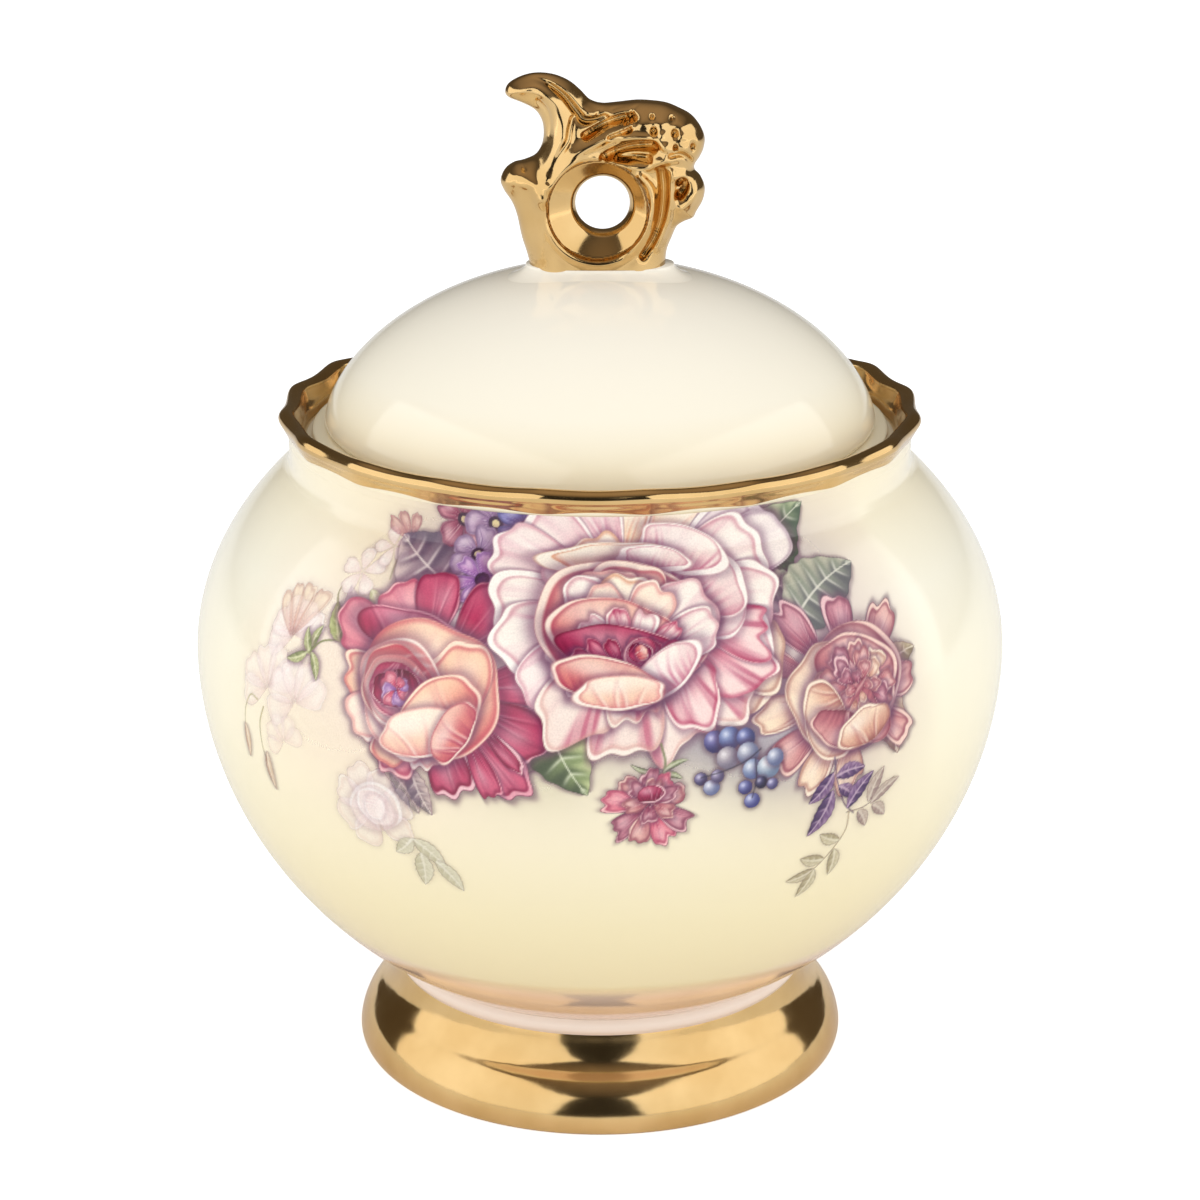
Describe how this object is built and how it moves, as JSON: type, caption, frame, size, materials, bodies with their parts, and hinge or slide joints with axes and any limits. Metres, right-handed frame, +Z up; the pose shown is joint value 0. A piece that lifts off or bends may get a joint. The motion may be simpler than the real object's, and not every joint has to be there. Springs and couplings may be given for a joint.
{
  "type": "sugar bowl",
  "caption": "Round lidded sugar bowl of cream porcelain with a printed flower spray, a wavy gilded rim, a flared gilded foot and a pierced gilded finial on a domed lift-off lid.",
  "frame": {"origin": "centre of the foot's standing edge, on the surface that the bowl stands on", "axes": "+Z up along the bowl's axis; the decorated front faces -Y; the finial's plume leans towards -X and its pod towards +X"},
  "size_m": [0.116, 0.1161, 0.1439],
  "materials": {
    "cream_glaze": "glossy cream glaze, yellower towards the foot and the lid's edge",
    "blush_glaze": "glossy pale pink-beige glaze",
    "gold_lustre": "mirror-bright gold lustre fired over the glaze",
    "flower_enamel": "printed enamel colours in a transfer fired on to the glaze, glossy"
  },
  "bodies": {
    "bowl": {"bowl_body": "cream_glaze", "gilded_rim": "gold_lustre", "foot_collar": "blush_glaze", "gilded_foot": "gold_lustre", "rose_transfer": "flower_enamel"},
    "lid": {"lid_dome": "cream_glaze", "lid_flange": "cream_glaze", "finial_pad": "cream_glaze", "finial": "gold_lustre"}
  },
  "joints": [
    {"name": "lid_lift", "type": "slide", "parent": "bowl", "child": "lid", "axis": [0, 0, 1], "range_m": [0, 0.08]}
  ]
}
